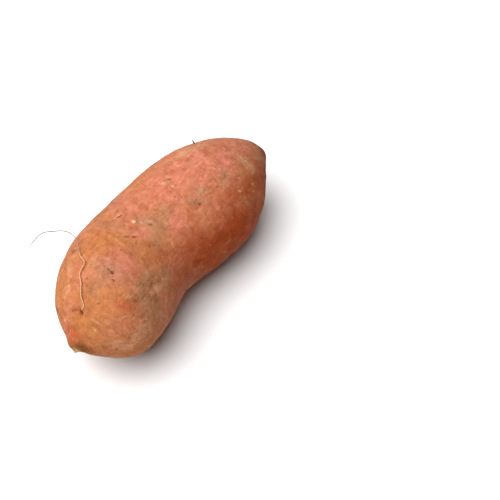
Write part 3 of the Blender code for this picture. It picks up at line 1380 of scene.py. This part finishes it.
@dataclass
class RootStub:
    """One short dried stub of a rootlet that broke off."""

    name: str
    node: str
    foot: Point
    neck: Point
    lean: Point
    length: float = 0.0024
    radius: float = 0.00042
    # Where it bends: the share of its length, and the share of its foot's own line kept there.
    bend_along: float = 0.55
    bend_out: float = 0.12
    step: float = 0.00012
    sides: int = 10
    rib_seed: int = 61
    # Its radius, as a share of the whole, at some shares of the way along it.
    thickness: tuple[tuple[float, float], ...] = ((0, 1.3), (0.35, 1.0), (0.8, 0.7), (1.0, 0.35))
    finish: RootletFinish = field(
        default_factory=lambda: RootletFinish(
            name="dark_rootlet",
            foot=(0.10, 0.05, 0.022),
            middle=(0.045, 0.026, 0.015),
            tip=(0.030, 0.020, 0.014),
            fibre=(0.020, 0.011, 0.008),
        )
    )

    def build(self) -> bpy.types.Object:
        """Builds the stub and rides it on its body.

        Returns:
            The finished piece.
        """
        foot, neck, lean = (np.array(value) for value in (self.foot, self.neck, self.lean))
        way = lean / np.linalg.norm(lean)
        bend = neck + way * self.length * self.bend_along + (neck - foot) * self.bend_out
        tip = neck + way * self.length
        line = smooth_line(np.array([foot, neck, bend, tip]), self.step)
        share = np.linspace(0, 1, len(line))
        radii = self.radius * np.interp(share, *zip(*self.thickness))
        mesh = root_mesh(self.name, line, radii, self.sides, self.rib_seed)
        return fit_piece(mesh, self.finish.material(), self.node)


# ---- The studio ----


@dataclass
class Studio:
    """A pale floor, soft light from the upper left and the camera that looks down."""

    azimuth: float = -51.4
    elevation: float = 60.0
    distance: float = 0.774
    lens: float = 100.0
    sensor: float = 36.0
    aim: Point = (0.0, 0.0, 0.031)
    # Where the aim point falls in the camera's view, as shares of its width from the middle.
    aim_right: float = -0.1832
    aim_up: float = 0.0076
    floor_size: float = 60.0
    floor_finish: PlainFinish = PlainFinish("pale_floor", (0.76, 0.76, 0.76), 0.8)
    sky_strength: float = 0.07
    # The way to the key light from the tuber: to the camera's right, up in its view and back.
    key_way: Point = (-0.35, 0.42, 0.84)
    key_spread: float = 66.0
    key_strength: float = 5.9

    def build(self) -> None:
        """Builds the floor, the sky, the light and the camera."""
        bpy.context.scene.view_settings.view_transform = "Standard"
        self._floor()
        self._sky()
        self._key_light()
        self._camera()

    def _axes(self) -> tuple[Vector, Vector, Vector]:
        """The camera's directions.

        Returns:
            To its right, up in its view, and back from what it looks at.
        """
        a, e = math.radians(self.azimuth), math.radians(self.elevation)
        back = Vector((math.sin(a) * math.cos(e), -math.cos(a) * math.cos(e), math.sin(e)))
        right = Vector((math.cos(a), math.sin(a), 0.0))
        return right, back.cross(right), back

    def _camera(self) -> None:
        """Makes the camera and puts it to work."""
        right, up, back = self._axes()
        data = bpy.data.cameras.new("camera")
        data.lens = self.lens
        data.sensor_width = self.sensor
        camera = link("camera", data)
        width = self.sensor / self.lens * self.distance
        camera.location = (
            Vector(self.aim)
            + back * self.distance
            - right * (self.aim_right * width)
            - up * (self.aim_up * width)
        )
        camera.rotation_mode = "QUATERNION"
        camera.rotation_quaternion = (-back).to_track_quat("-Z", "Y")
        bpy.context.scene.camera = camera

    def _key_light(self) -> None:
        """Makes one broad soft light, as from a very large far lamp."""
        right, up, back = self._axes()
        to_right, to_top, to_back = self.key_way
        towards = (to_right * right + to_top * up + to_back * back).normalized()
        data = bpy.data.lights.new("key_light", "SUN")
        data.angle = math.radians(self.key_spread)
        data.energy = self.key_strength
        lamp = link("key_light", data)
        lamp.location = Vector(self.aim) + towards
        lamp.rotation_mode = "QUATERNION"
        lamp.rotation_quaternion = towards.to_track_quat("Z", "Y")

    def _sky(self) -> None:
        """Sets an even pale light all round."""
        world = bpy.data.worlds.new("pale_sky")
        world.use_nodes = True
        background = world.node_tree.nodes["Background"]
        background.inputs["Color"].default_value = (1.0, 1.0, 1.0, 1.0)
        background.inputs["Strength"].default_value = self.sky_strength
        bpy.context.scene.world = world

    def _floor(self) -> None:
        """Lays the floor."""
        half = self.floor_size / 2
        corners = [(-half, -half, 0.0), (half, -half, 0.0), (half, half, 0.0), (-half, half, 0.0)]
        mesh = bpy.data.meshes.new("pale_floor")
        mesh.from_pydata(corners, [], [(0, 1, 2, 3)])
        mesh.materials.append(self.floor_finish.material())
        link("pale_floor", mesh)


def main() -> None:
    """Builds the sweet potato and its studio."""
    logging.basicConfig(level=logging.INFO, format="%(name)s: %(message)s")
    Studio().build()
    parts = (
        TuberSkin(),
        HairRoot(),
        RootStub(
            name="stub_on_upper_edge",
            node="root_stub_top",
            foot=(0.0542, 0.0176, 0.0519),
            neck=(0.0548, 0.0186, 0.0528),
            lean=(0.05, 0.75, 0.65),
        ),
        RootStub(
            name="stub_on_far_side",
            node="root_stub_back",
            foot=(-0.0233, 0.0284, 0.0148),
            neck=(-0.0236, 0.0295, 0.0141),
            lean=(0.2, 0.84, -0.5),
        ),
    )
    for part in parts:
        piece = part.build()
        log.info("%s: %d faces", piece.name, len(piece.data.polygons))


if __name__ == "__main__":
    main()
